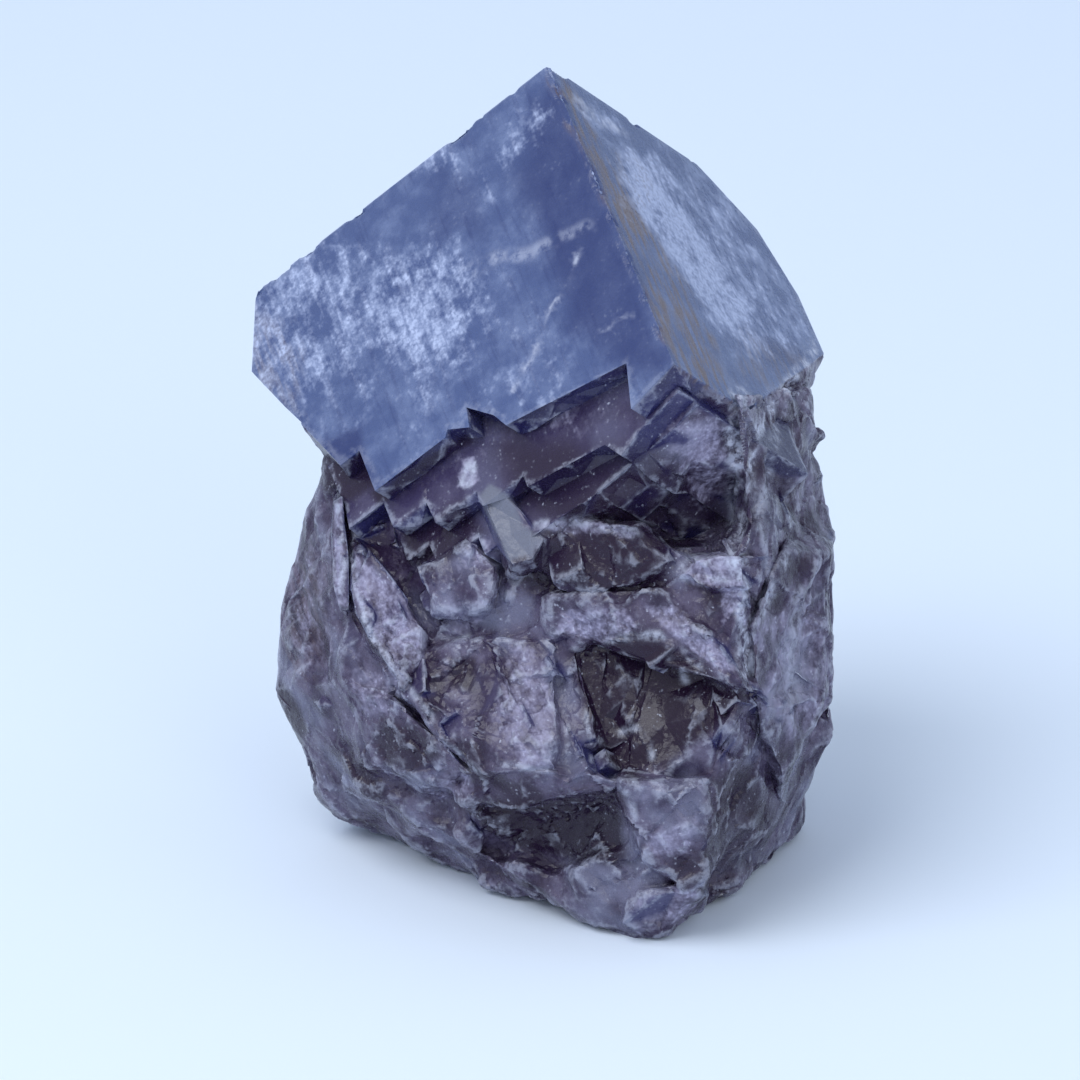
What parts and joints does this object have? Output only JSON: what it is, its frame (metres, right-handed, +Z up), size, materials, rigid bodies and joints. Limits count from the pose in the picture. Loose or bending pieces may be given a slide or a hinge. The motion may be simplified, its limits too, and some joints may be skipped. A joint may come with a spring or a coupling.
{
  "type": "fluorite cluster",
  "caption": "Violet-blue fluorite specimen: a large cube crystal's corner, point up, with stepped torn sides, on a broken, cleaved stem that is cut flat to stand.",
  "frame": {"origin": "middle of the specimen's box, on the flat cut that it stands on", "axes": "+Z up through the cube's tip, +X to the right of a viewer who faces the front ridge's side, +Y away from that viewer"},
  "size_m": [0.072, 0.0734, 0.0967],
  "materials": {
    "fluorite": "violet-blue crystal, glossy cube faces with frosty veils, rough and frosted where it is broken"
  },
  "bodies": {
    "root": {"fluorite": "fluorite"}
  },
  "joints": []
}
